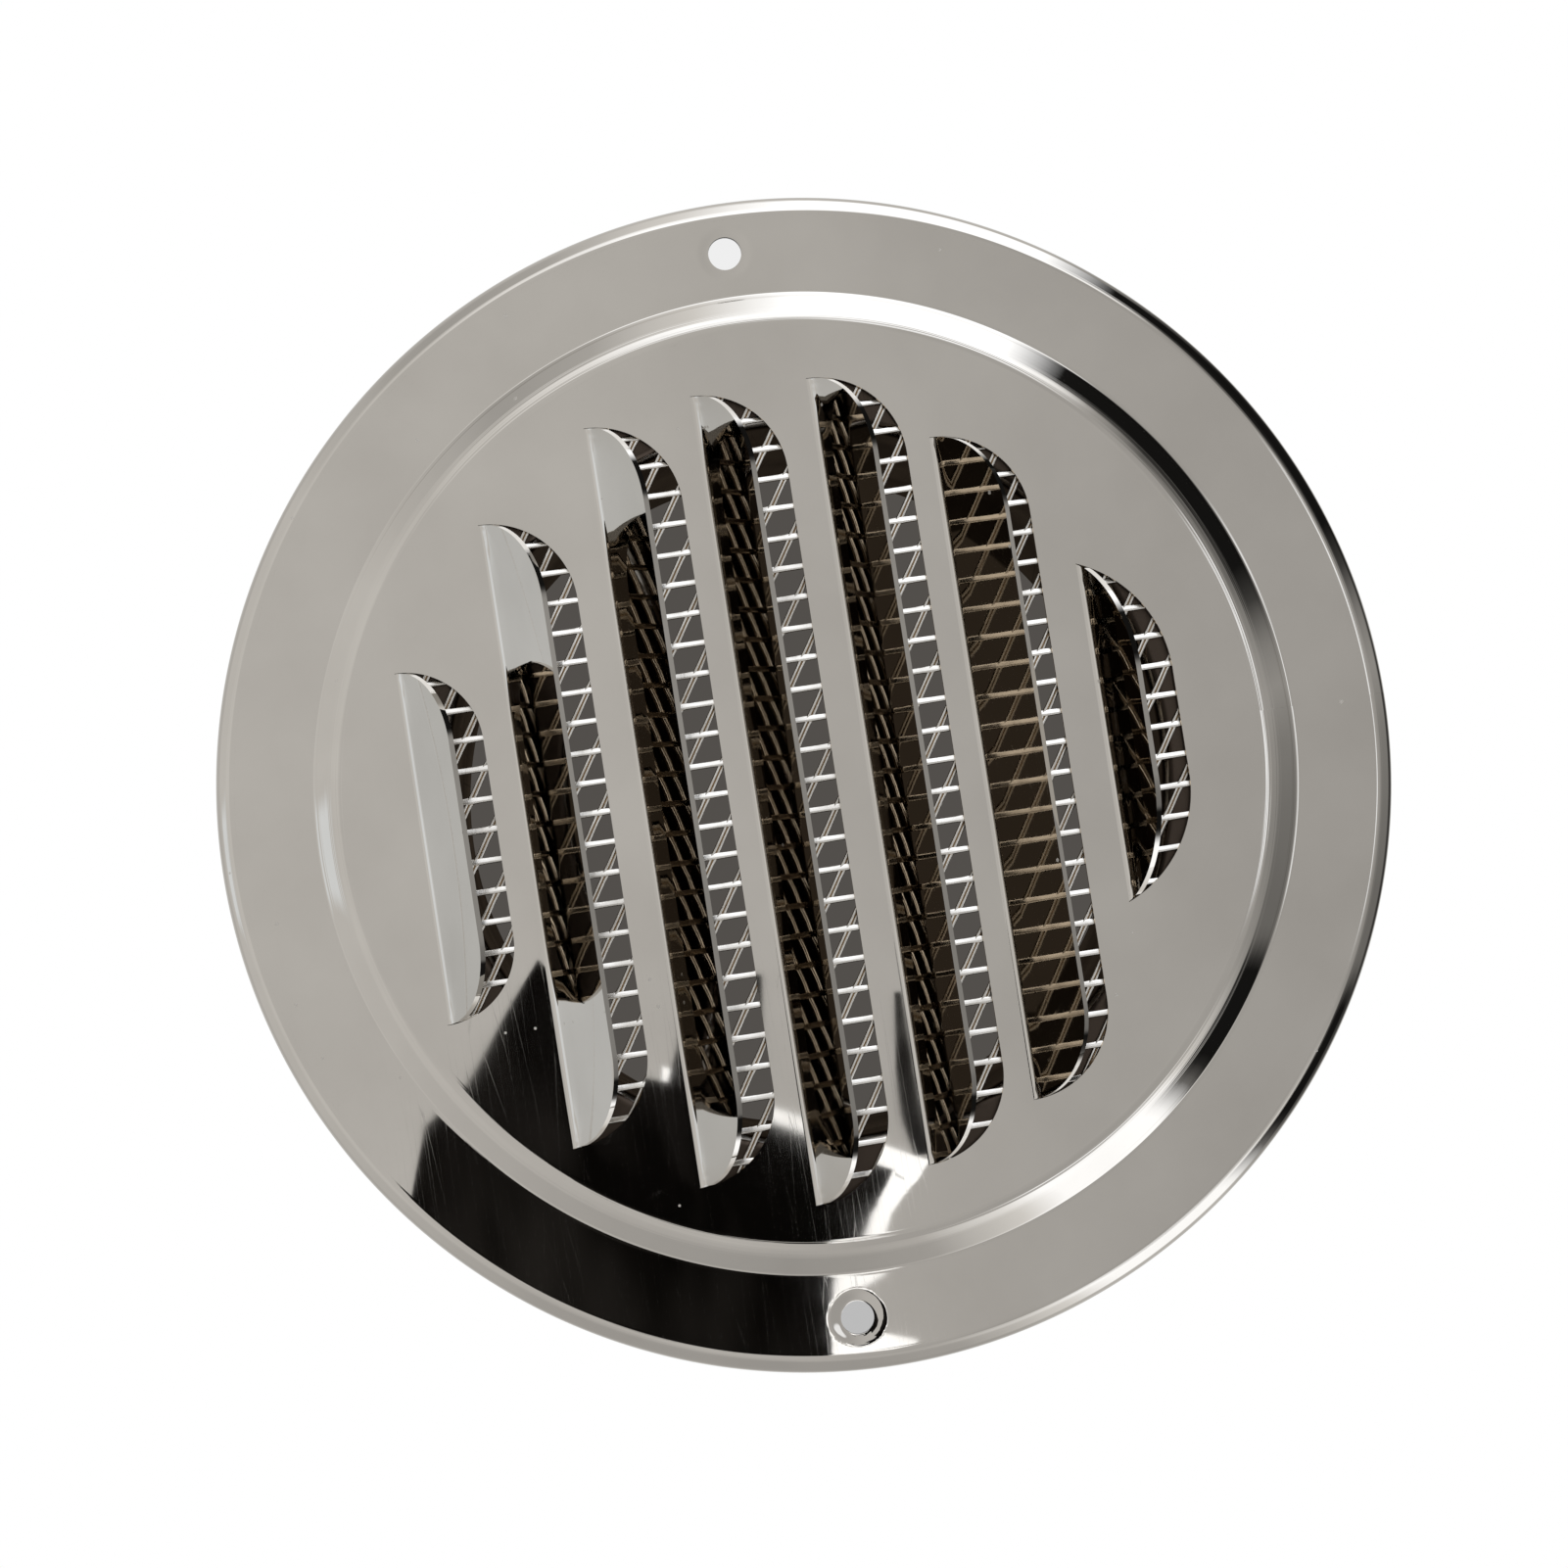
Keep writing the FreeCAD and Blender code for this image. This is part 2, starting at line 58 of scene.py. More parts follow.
# %% Grid helpers
def grid_faces(rows, cols, wrap, start):
    """Corner numbers of the quads of a rows x cols grid; wrap joins the last column to the first."""
    r = np.arange(rows - 1)[:, None]
    c = np.arange(cols if wrap else cols - 1)[None, :]
    n = (c + 1) % cols
    corners = [r * cols + c, r * cols + n, (r + 1) * cols + n, (r + 1) * cols + c]
    return start + np.stack(corners, -1).reshape(-1, 4)


def add_piece(name, patches, material, nodes, crease=32.0):
    """One object from patches of (points in mm, wrap, flip), set to ride on the body."""
    points, faces, start = [], [], 0
    for surface, wrap, flip in patches:
        quads = grid_faces(*surface.shape[:2], wrap, start)
        faces.append(quads[:, ::-1] if flip else quads)
        points.append(surface.reshape(-1, 3))
        start += surface.shape[0] * surface.shape[1]
    mesh = bpy.data.meshes.new(name)
    mesh.from_pydata((np.concatenate(points) * MM).tolist(), [], np.concatenate(faces).tolist())
    tidy = bmesh.new()
    tidy.from_mesh(mesh)
    bmesh.ops.remove_doubles(tidy, verts=tidy.verts, dist=2e-6)
    bmesh.ops.dissolve_degenerate(tidy, edges=tidy.edges, dist=1e-7)
    tidy.to_mesh(mesh)
    tidy.free()
    mesh.shade_smooth()
    mesh.set_sharp_from_angle(angle=math.radians(crease))
    mesh.materials.append(material)
    piece = bpy.data.objects.new(name, mesh)
    bpy.context.scene.collection.objects.link(piece)
    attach(piece, "root")
    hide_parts(*nodes)
    print(name, len(mesh.polygons), "faces")


def turned(profile, angles):
    """Profile of (radius, y) rows carried round the duct axis: x = r cos a, z = r sin a."""
    r, y = profile[:, 0, None], profile[:, 1, None]
    return np.stack([r * np.cos(angles), y + 0 * angles, r * np.sin(angles)], -1)


TURN = np.linspace(0, 2 * np.pi, 360, endpoint=False)

# %% [markdown]
# ## Steel finishes
# The face is bright rolled sheet: a clean mirror that is never quite flat. A node group gives
# every steel the same things from Object coordinates, with its own amounts: slow waves in the
# sheet, the fine grain of the rolling mill, turning marks on the two bends, smudges, and a few
# hair scratches and specks.

# %% Shared sheet-steel group
RIDGE_R, RIDGE_NEAR, RIDGE_FAR = 0.0644, 0.0018, 0.0028
RIM_FROM, RIM_TO = 0.0772, 0.0782
SPECK_SCALE, SPECK_SIZE, SPECK_CHANCE, SPECK_GAIN = 260.0, 0.07, 0.86, 8.0


def wiring(tree):
    """Shorthands for one node tree: a maths node, and a smooth fade from 0 at low to 1 at high."""
    nodes, link = tree.nodes, tree.links.new

    def maths(kind, *values):
        node = nodes.new("ShaderNodeMath")
        node.operation = kind
        for socket, value in zip(node.inputs, values):
            if isinstance(value, (int, float)):
                socket.default_value = value
            else:
                link(value, socket)
        return node.outputs["Value"]

    def fade(value, low, high):
        node = nodes.new("ShaderNodeMapRange")
        node.interpolation_type = "SMOOTHSTEP"
        node.inputs["From Min"].default_value = low
        node.inputs["From Max"].default_value = high
        link(value, node.inputs["Value"])
        return node.outputs["Result"]

    return maths, fade


def make_sheet_group():
    """Height of waves, grain and turning marks, a smudge mask, and a mask of scratches and specks."""
    group = bpy.data.node_groups.new("rolled_sheet", "ShaderNodeTree")
    for name in ("Wave Scale", "Grain Amount", "Scratch Amount", "Spin Amount"):
        group.interface.new_socket(name, in_out="INPUT", socket_type="NodeSocketFloat")
    for name in ("Height", "Smudge", "Scratch"):
        group.interface.new_socket(name, in_out="OUTPUT", socket_type="NodeSocketFloat")
    nodes, link = group.nodes, group.links.new
    given, made = nodes.new("NodeGroupInput"), nodes.new("NodeGroupOutput")
    place = nodes.new("ShaderNodeTexCoord")
    wave = nodes.new("ShaderNodeTexNoise")
    wave.inputs["Detail"].default_value = 1.0
    link(place.outputs["Object"], wave.inputs["Vector"])
    link(given.outputs["Wave Scale"], wave.inputs["Scale"])
    stretch = nodes.new("ShaderNodeMapping")
    stretch.inputs["Scale"].default_value = (60.0, 900.0, 2600.0)
    link(place.outputs["Object"], stretch.inputs["Vector"])
    grain = nodes.new("ShaderNodeTexNoise")
    grain.inputs["Scale"].default_value = 1.0
    grain.inputs["Detail"].default_value = 2.0
    link(stretch.outputs["Vector"], grain.inputs["Vector"])
    maths, fade = wiring(group)
    fine = maths("MULTIPLY", grain.outputs["Fac"], given.outputs["Grain Amount"])
    total = maths("ADD", wave.outputs["Fac"], fine)
    axes = nodes.new("ShaderNodeSeparateXYZ")
    link(place.outputs["Object"], axes.inputs["Vector"])
    square = maths("ADD", maths("POWER", axes.outputs["X"], 2.0), maths("POWER", axes.outputs["Z"], 2.0))
    radius = maths("SQRT", square)
    polar = nodes.new("ShaderNodeCombineXYZ")
    link(maths("MULTIPLY", radius, 2600.0), polar.inputs["X"])
    link(maths("ARCTAN2", axes.outputs["X"], axes.outputs["Z"]), polar.inputs["Y"])
    spin = nodes.new("ShaderNodeTexNoise")
    spin.noise_dimensions = "2D"
    spin.inputs["Scale"].default_value = 1.0
    spin.inputs["Detail"].default_value = 2.0
    link(polar.outputs["Vector"], spin.inputs["Vector"])
    ridge = fade(maths("ABSOLUTE", maths("SUBTRACT", radius, RIDGE_R)), RIDGE_FAR, RIDGE_NEAR)
    bends = maths("MAXIMUM", ridge, fade(radius, RIM_FROM, RIM_TO))
    marks = maths("MULTIPLY", maths("MULTIPLY", spin.outputs["Fac"], bends), given.outputs["Spin Amount"])
    link(maths("ADD", total, marks), made.inputs["Height"])
    cloud = nodes.new("ShaderNodeTexNoise")
    cloud.inputs["Scale"].default_value = 55.0
    cloud.inputs["Detail"].default_value = 5.0
    link(place.outputs["Object"], cloud.inputs["Vector"])
    patchy = nodes.new("ShaderNodeMapRange")
    patchy.inputs["From Min"].default_value = 0.3
    patchy.inputs["From Max"].default_value = 0.7
    link(cloud.outputs["Fac"], patchy.inputs["Value"])
    link(patchy.outputs["Result"], made.inputs["Smudge"])
    slant = nodes.new("ShaderNodeMapping")
    slant.inputs["Rotation"].default_value = (0.0, 0.6, 0.0)
    slant.inputs["Scale"].default_value = (25.0, 25.0, 700.0)
    link(place.outputs["Object"], slant.inputs["Vector"])
    hair = nodes.new("ShaderNodeTexVoronoi")
    hair.feature = "DISTANCE_TO_EDGE"
    hair.inputs["Scale"].default_value = 1.0
    link(slant.outputs["Vector"], hair.inputs["Vector"])
    speck = nodes.new("ShaderNodeTexVoronoi")
    speck.inputs["Scale"].default_value = SPECK_SCALE
    link(place.outputs["Object"], speck.inputs["Vector"])
    lucky = nodes.new("ShaderNodeSeparateColor")
    link(speck.outputs["Color"], lucky.inputs["Color"])
    dot = maths("MULTIPLY", maths("LESS_THAN", speck.outputs["Distance"], SPECK_SIZE),
                maths("GREATER_THAN", lucky.outputs["Red"], SPECK_CHANCE))
    flaws = maths("ADD", fade(hair.outputs["Distance"], 0.012, 0.0), maths("MULTIPLY", dot, SPECK_GAIN))
    link(maths("MULTIPLY", flaws, given.outputs["Scratch Amount"]), made.inputs["Scratch"])
    return group


sheet_group = make_sheet_group()


def make_steel(name, colour, dull, rough, wave_scale, grain, scratch, lift, spin=0.0, mirrored=None):
    """Metal whose colour and roughness drift with the smudges and whose bump is waves plus grain."""
    material = bpy.data.materials.new(name)
    material.use_nodes = True
    nodes, link = material.node_tree.nodes, material.node_tree.links.new
    steel = nodes["Principled BSDF"]
    steel.inputs["Metallic"].default_value = 1.0
    effect = nodes.new("ShaderNodeGroup")
    effect.node_tree = sheet_group
    effect.inputs["Wave Scale"].default_value = wave_scale
    effect.inputs["Grain Amount"].default_value = grain
    effect.inputs["Scratch Amount"].default_value = scratch
    effect.inputs["Spin Amount"].default_value = spin
    tint = nodes.new("ShaderNodeMix")
    tint.data_type = "RGBA"
    tint.inputs["A"].default_value = (*colour, 1.0)
    tint.inputs["B"].default_value = (*dull, 1.0)
    link(effect.outputs["Smudge"], tint.inputs["Factor"])
    link(tint.outputs["Result"], steel.inputs["Base Color"])
    # Painted reflection: glossy rays see the mirrored tint as the base colour instead of the steel's own
    # colour.
    if mirrored:
        path, warm = nodes.new("ShaderNodeLightPath"), nodes.new("ShaderNodeMix")
        warm.data_type = "RGBA"
        warm.inputs["B"].default_value = (*mirrored, 1.0)
        link(path.outputs["Is Glossy Ray"], warm.inputs["Factor"])
        link(tint.outputs["Result"], warm.inputs["A"])
        link(warm.outputs["Result"], steel.inputs["Base Color"])
    span = nodes.new("ShaderNodeMapRange")
    span.inputs["To Min"].default_value = rough[0]
    span.inputs["To Max"].default_value = rough[1]
    link(effect.outputs["Smudge"], span.inputs["Value"])
    scuff = nodes.new("ShaderNodeMath")
    scuff.operation = "ADD"
    link(span.outputs["Result"], scuff.inputs[0])
    link(effect.outputs["Scratch"], scuff.inputs[1])
    link(scuff.outputs["Value"], steel.inputs["Roughness"])
    bump = nodes.new("ShaderNodeBump")
    bump.inputs["Distance"].default_value = lift
    link(effect.outputs["Height"], bump.inputs["Height"])
    link(bump.outputs["Normal"], steel.inputs["Normal"])
    return material


polished = make_steel("polished_steel", colour=(0.68, 0.66, 0.63), dull=(0.62, 0.6, 0.57),
                      rough=(0.012, 0.04), wave_scale=22.0, grain=0.0002, scratch=0.05,
                      lift=0.00008, spin=0.35)
# The mesh's warm mirrored tint is a painted reflection colour, seen only in mirror reflections.
mesh_steel = make_steel("mesh_steel", colour=(0.84, 0.83, 0.81), dull=(0.68, 0.66, 0.63), rough=(0.12, 0.3),
                        wave_scale=240.0, grain=0.1, scratch=0.0, lift=0.00004, mirrored=(0.58, 0.48, 0.36))
collar_steel = make_steel("collar_steel", colour=(0.6, 0.59, 0.57), dull=(0.5, 0.48, 0.46), rough=(0.2, 0.42),
                          wave_scale=30.0, grain=0.06, scratch=0.1, lift=0.00008)
print("finishes:", polished.name, mesh_steel.name, collar_steel.name)

# %% [markdown]
# ## The pressed disc
# The plate's section is a flat middle, an S-shaped step of two tangent arcs, a flat flange and a
# rolled rim. One function gives that section at any depth in the sheet: 0 is the front and the
# sheet thickness is the back, so both skins stay parallel through every bend.

# %% Section of the plate
SHEET, SEAM = 0.8, 0.2
OUTER, RIM, FLANGE_Y = 80.0, 2.5, -4.0
MIDDLE, RUN, RISE = 61.8, 5.0, 2.0
FACE_Y = FLANGE_Y - RISE
STEP = 2 * math.atan(RISE / RUN)
FOOT = 0.8
CREST = (RUN**2 + RISE**2) / (2 * RISE) - FOOT


def step_section(depth, rows):
    """S-step: an arc over the crest, then an arc into the foot, both turning through the same angle."""
    a = np.linspace(0, STEP, rows)
    b = a[-2::-1]
    crest, foot = CREST - depth, FOOT + depth
    over = np.stack([MIDDLE + crest * np.sin(a), FACE_Y + CREST - crest * np.cos(a)], -1)
    under = np.stack([MIDDLE + RUN - foot * np.sin(b), FLANGE_Y - FOOT + foot * np.cos(b)], -1)
    start, end = [[MIDDLE - SEAM, FACE_Y + depth]], [[MIDDLE + RUN + SEAM, FLANGE_Y + depth]]
    return np.concatenate([start, over, under, end])


def rim_section(depth, rows):
    """Rolled rim: a quarter arc from the flange, then the straight skirt back to the wall."""
    a = np.linspace(0, np.pi / 2, rows)
    bend = RIM - depth
    roll = np.stack([OUTER - RIM + bend * np.sin(a), FLANGE_Y + RIM - bend * np.cos(a)], -1)
    start, end = [[OUTER - RIM - SEAM, FLANGE_Y + depth]], [[OUTER - depth, 0.0]]
    return np.concatenate([start, roll, end])


plate = []
for depth, rows in ((0.0, 27), (SHEET, 11)):
    plate += [(turned(step_section(depth, rows), TURN), True, depth == 0.0)]
    plate += [(turned(rim_section(depth, rows), TURN), True, depth == 0.0)]
back_edge = np.array([[OUTER, 0.0], [OUTER - SHEET, 0.0]])
plate += [(turned(back_edge, TURN), True, True)]
print("step arcs %.2f and %.2f mm, turning %.1f degrees" % (CREST, FOOT, math.degrees(STEP)))

# %% [markdown]
# ## Flange and screw holes
# The punch has drawn the sheet in a little round each hole. Each hole gets its own patch: rings
# that start on the hole's circle and end on the outline of a small sector, with the dimple in
# their depth. Plain polar grids fill the flange between the two sectors.

# %% Flange patches
SCREWS = [(72.7, 0.0, 0.03), (72.7, math.radians(176.6), 0.15)]
SCREW_R, DIMPLE_R, SECTOR = 2.25, 3.9, 6.4
INNER_EDGE, OUTER_EDGE = MIDDLE + RUN + SEAM, OUTER - RIM - SEAM
NUDGE = 0.003


def hole_patch(reach, turn, sink, depth):
    """Rings from a hole's circle out to a sector of the flange; sunk by a smooth dimple near the hole."""
    corners = np.arctan2(SECTOR, [OUTER_EDGE - reach, INNER_EDGE - reach])
    even = np.linspace(-np.pi, np.pi, 96, endpoint=False) + NUDGE
    a = np.sort(np.concatenate([even, corners, -corners]))[None, :]
    t = np.concatenate([np.linspace(0, 0.3, 16), np.linspace(0.36, 1, 10)])[:, None]
    up = np.where(np.cos(a) > 0, OUTER_EDGE - reach, reach - INNER_EDGE)
    limit = 1 / np.maximum(np.abs(np.cos(a)) / up, np.abs(np.sin(a)) / SECTOR)
    far = SCREW_R + t * (limit - SCREW_R)
    r, angle = reach + far * np.cos(a), turn + far * np.sin(a) / reach
    edge = np.minimum(DIMPLE_R, limit)
    near = np.clip((edge - far) / (edge - SCREW_R), 0, 1)
    y = FLANGE_Y + depth + sink * near**2 * (3 - 2 * near)
    return np.stack([r * np.cos(angle), y + 0 * r, r * np.sin(angle)], -1)


flat = np.stack([np.linspace(INNER_EDGE, OUTER_EDGE, 6), np.full(6, FLANGE_Y)], -1)
for depth in (0.0, SHEET):
    for k, (reach, turn, sink) in enumerate(SCREWS):
        plate += [(hole_patch(reach, turn, sink, depth), True, depth == 0.0)]
        low = turn + SECTOR / reach
        high = (SCREWS[1][1] if k == 0 else 2 * np.pi) - SECTOR / reach
        plate += [(turned(flat + [0, depth], np.linspace(low, high, 160)), False, depth == 0.0)]
for reach, turn, sink in SCREWS:
    skins = [hole_patch(reach, turn, sink, depth)[0] for depth in (0.0, SHEET)]
    plate += [(np.stack(skins), True, False)]
print("screw holes at", [(round(r * math.cos(a), 1), round(r * math.sin(a), 1)) for r, a, _ in SCREWS])

# %% [markdown]
# ## Louvre outlines
# A louvre is a half-stadium tongue: straight along its fold, round at its two free corners. Its
# depth below the fold is therefore a function of x, and it serves three times: for the opening
# in the flat middle, for the wall of the cut, and for the flap itself.

# %% Louvre sizes and outline
FOLD = np.array([52.8, 38.7, 22.65, 7.7, -8.2, -23.5, -40.5])
SLIDE = np.array([-1.3, -1.7, -0.2, -1.5, 0.1, -1.9, 0.3])
LENGTH = np.array([47.9, 85.0, 103.7, 110.6, 107.6, 90.7, 46.4])
WIDTH = np.array([10.5, 11.8, 11.8, 11.6, 12.0, 12.0, 10.8])
ANGLE = np.radians([54.0, 52.0, 57.0, 57.0, 55.0, 48.5, 65.0])
CORNER = np.append(WIDTH[:6], 17.3)
BEND, GAP, TRIM = 1.3, 0.03, 0.15


def louvre_outline(k, gap=0.0, trim=0.0):
    """x along the fold and depth below it: corner arc, straight free edge, corner arc."""
    c, w = CORNER[k] - gap, WIDTH[k] - trim
    reach = math.sqrt(CORNER[k]**2 - (CORNER[k] - WIDTH[k])**2)
    half = LENGTH[k] / 2 - reach
    a = np.linspace(0, math.acos(min(1.0, max(0.0, (c - w) / c))), 33)
    corner_x, corner_d = half + c * np.sin(a), w - c + c * np.cos(a)
    x = np.concatenate([-corner_x[::-1], np.linspace(-half, half, 40)[1:-1], corner_x])
    d = np.concatenate([corner_d[::-1], np.full(38, w), corner_d])
    return x + SLIDE[k], np.maximum(d, 0.0)


print("louvre depths:", [round(float(louvre_outline(k)[1].max()), 1) for k in range(7)])

# %% [markdown]
# ## The flat middle
# Between two neighbouring louvres lies a band of flat sheet. Its upper edge is the cut outline of
# the louvre above, its lower edge is the straight fold of the louvre below, and both are clipped
# to the disc. So the middle is eight bands, each a grid over x and the way from edge to edge.

# %% Bands of the middle
DISC = MIDDLE - SEAM
PULL, SPREAD = np.array([0.0, 0.015, 0.02, 0.02, 0.012, 0.02, 0.02]), 3.5


def warp(x, z):
    """Pull of the sheet towards the front: a bell at both ends of every fold, faded out at the step."""
    tips = np.stack([SLIDE - LENGTH / 2, SLIDE + LENGTH / 2], -1)
    away = (x[..., None, None] - tips)**2 + (z[..., None, None] - FOLD[:, None])**2
    bells = (PULL[:, None] * np.exp(-away / (2 * SPREAD**2))).sum((-1, -2))
    fade = np.clip((DISC - np.hypot(x, z)) / 6.0, 0, 1)
    return -bells * fade**2 * (3 - 2 * fade)


def band(k):
    """Front grid of the band under louvre k (k = -1 is the cap above the first louvre)."""
    floor = FOLD[k + 1] if k < 6 else -DISC
    x = np.array([-DISC, DISC])
    if k >= 0:
        x = np.concatenate([louvre_outline(k)[0], math.sqrt(DISC**2 - FOLD[k]**2) * np.array([-1, 1])])
    if k < 6:
        tips = SLIDE[k + 1] + LENGTH[k + 1] / 2 * np.array([-1, 1])
        x = np.concatenate([x, tips, math.sqrt(DISC**2 - floor**2) * np.array([-1, 1])])
    ends = DISC * np.sin(np.linspace(-np.pi / 2, np.pi / 2, 181))
    spare = np.abs(ends[:, None] - x).min(1) > 0.12
    x = np.unique(np.round(np.concatenate([x, ends[spare]]), 6))
    arc = np.sqrt(np.maximum(DISC**2 - x**2, 0))
    if k < 0:
        top = arc
    else:
        ox, od = louvre_outline(k)
        top = np.minimum(FOLD[k] - np.interp(x, ox, od, left=0.0, right=0.0), arc)
    bottom = np.maximum(np.full_like(x, floor), -arc)
    keep = top >= bottom - 1e-4
    x, top, bottom = x[keep], top[keep], np.minimum(bottom[keep], top[keep])
    t = np.linspace(0, 1, 11)[:, None]
    z = top + t * (bottom - top)
    x = x + 0 * z
    return np.stack([x, FACE_Y + warp(x, z), z], -1)


for k in range(-1, 7):
    skin = band(k)
    plate += [(skin, False, True), (skin[::5] + [0, SHEET, 0], False, False)]
    if k >= 0:
        tips = louvre_outline(k)[0][[0, -1]]
        cut = skin[0][(skin[0, :, 0] > tips[0] - 1e-5) & (skin[0, :, 0] < tips[1] + 1e-5)]
        plate += [(np.stack([cut, cut + [0, SHEET, 0]]), False, False)]
add_piece("face_sheet", plate, polished, ["face_plate"])

# %% [markdown]
# ## The louvre flaps
# Each flap leaves the plate through a tight fold and then runs straight at its own angle. A point
# is found from its distance along the sheet: inside the fold it turns about a line in front of
# the plate, and past the fold it goes on along the tangent.


# %% Flaps
def flap_skin(k, depth):
    """Flap k at one depth in the sheet: arc of radius BEND + depth about the fold line, then straight."""
    x, d = louvre_outline(k, GAP, TRIM)
    x = SLIDE[k] + (x - SLIDE[k]) * (1 - 2 * GAP / LENGTH[k])
    middle = BEND + SHEET / 2
    knee = middle * ANGLE[k]
    v = np.concatenate([np.linspace(0, knee / WIDTH[k], 15), np.linspace(knee / WIDTH[k], 1, 7)[1:]])[:, None]
    s = v * d
    a = np.minimum(s, knee) / middle
    past = np.maximum(s - knee, 0)
    r = BEND + depth
    y = FACE_Y - BEND + r * np.cos(a) - past * np.sin(ANGLE[k]) + warp(x, FOLD[k] + 0 * x)
    z = FOLD[k] - r * np.sin(a) - past * np.cos(ANGLE[k])
    return np.stack([x + 0 * y, y, z], -1)


for k in range(7):
    front, back = flap_skin(k, 0.0), flap_skin(k, SHEET)
    edge = np.stack([front[-1], back[-1]])
    patches = [(front, False, True), (back, False, False), (edge, False, True)]
    add_piece(f"flap_{k + 1}", patches, polished, [f"louvre_{k + 1}"])

# %% [markdown]
# ## Insect mesh
# Expanded metal is slit and pulled open, so its strands are flat, lean over, and are bonded where
# they cross. Two families of strands are carried across the disc: a strand is a rounded
# rectangle swept along a straight line, tilted about that line and lifted at every bond. The
# real diamonds are smaller than the CAD stand-in's, so they are drawn at their true size here.

# %% Mesh strands
MESH_R, BORDER_R, MESH_BACK, MESH_FRONT = 61.3, 58.4, -4.22, -5.18
SIDE, CROSS = 4.92, math.radians(57.0)
PITCH = SIDE * math.sin(CROSS)
SOFT = 0.1


def strand_family(turn, width, thick, tilt, wave, offset, lean, shift, groove):
    """Strands side by side across the disc: rounded section x chord length, as one grid per strand."""
    count = int(2 * MESH_R / PITCH)
    across = (np.arange(count) - (count - 1) / 2 + offset) * PITCH
    across = across[np.abs(across) < MESH_R - 0.8]
    reach = np.sqrt(MESH_R**2 - across**2)
    s = np.linspace(-1, 1, 109)
    size = np.clip((1 - np.abs(s)) * 1e4, 0, 1)[:, None]
    q = np.radians(90.0 * np.repeat(np.arange(4), 3) + np.tile([8, 45, 82], 4))
    flat_x = np.sign(np.cos(q)) * (width / 2 - SOFT) + SOFT * np.cos(q)
    flat_y = np.sign(np.sin(q)) * (thick / 2 - SOFT) + SOFT * np.sin(q)
    flat_x = np.insert(flat_x, 9, [-0.12, 0.0, 0.12])
    flat_y = np.insert(flat_y, 9, [-thick / 2 + 0.1 * groove, -thick / 2 + groove, -thick / 2 + 0.1 * groove])
    side = flat_x * math.cos(tilt) - flat_y * math.sin(tilt)
    rise = flat_x * math.sin(tilt) + flat_y * math.cos(tilt)
    along, cross = np.array([math.sin(turn), math.cos(turn)]), np.array([math.cos(turn), -math.sin(turn)])
    grids = []
    for centre, length in zip(across, reach):
        far = (s * length)[:, None]
        bond = np.cos(2 * np.pi * (far / SIDE + lean * centre / PITCH * math.cos(CROSS) + shift))
        middle = (MESH_FRONT + MESH_BACK) / 2 + wave * bond
        off = centre + size * side * (1 + 0.22 * np.maximum(bond, 0)**4)
        y = np.clip(middle + size * rise, MESH_FRONT, MESH_BACK)
        x = off * cross[0] + far * along[0]
        z = off * cross[1] + far * along[1]
        grids.append((np.stack([x, y, z], -1), True, False))
    return grids


strands = strand_family(turn=0.0, width=0.8, thick=0.44, tilt=math.radians(15), wave=-0.05,
                        offset=0.0, lean=1, shift=0.25, groove=0.0)
strands += strand_family(turn=math.radians(123), width=0.86, thick=0.46, tilt=math.radians(8), wave=0.05,
                         offset=0.25, lean=-1, shift=0.0, groove=0.26)
border = np.array([[BORDER_R, MESH_FRONT], [MESH_R, MESH_FRONT], [MESH_R, MESH_BACK], [BORDER_R, MESH_BACK],
                   [BORDER_R, MESH_FRONT]])
strands += [(turned(border, TURN), True, True)]
add_piece("expanded_mesh", strands, mesh_steel, ["insect_mesh"], crease=50.0)

# %% [markdown]
# ## Duct collar
# The collar is one section turned round the duct axis: the flange that clamps the mesh, a rounded
# bend, and the thin tube. Going once round the section closes the solid. Its inner side and the
# flange's face towards the mesh carry painted shade in dark brown, which a mask from the radius
# and the depth keeps off the outside.

# %% Collar
COLLAR_R, WALL, FOLD_R, LIP, SEAT, REACH = 49.0, 0.6, 1.2, 62.2, -4.2, 55.0
quarter = np.linspace(0, np.pi / 2, 15)
inner = np.stack([COLLAR_R + FOLD_R - (WALL + FOLD_R) * np.sin(quarter),
                  SEAT + (WALL + FOLD_R) * (1 - np.cos(quarter))], -1)
outer = np.stack([COLLAR_R + FOLD_R - FOLD_R * np.sin(quarter),
                  SEAT + WALL + FOLD_R * (1 - np.cos(quarter))], -1)
section = np.concatenate([[[LIP, SEAT]], inner, [[COLLAR_R - WALL, REACH], [COLLAR_R, REACH]], outer[::-1],
                          [[LIP, SEAT + WALL], [LIP, SEAT]]])


def paint_inner_shade(material):
    """Painted shade: dark brown where the radius is under the tube's middle or the flange faces the mesh."""
    nodes, link = material.node_tree.nodes, material.node_tree.links.new
    maths, _ = wiring(material.node_tree)
    place, axes, inner_shade = (nodes.new("ShaderNode" + kind) for kind in ("TexCoord", "SeparateXYZ", "Mix"))
    link(place.outputs["Object"], axes.inputs["Vector"])
    x, y, z = (axes.outputs[name] for name in "XYZ")
    radius = maths("SQRT", maths("ADD", maths("MULTIPLY", x, x), maths("MULTIPLY", z, z)))
    within = maths("LESS_THAN", radius, (COLLAR_R - 0.5 * WALL) * MM)
    inner_shade.data_type = "RGBA"
    inner_shade.inputs["B"].default_value = (0.07, 0.055, 0.045, 1.0)
    link(maths("MAXIMUM", within, maths("LESS_THAN", y, (SEAT + 0.5 * WALL) * MM)), inner_shade.inputs["Factor"])
    link(nodes["Mix"].outputs["Result"], inner_shade.inputs["A"])
    link(inner_shade.outputs["Result"], nodes["Principled BSDF"].inputs["Base Color"])


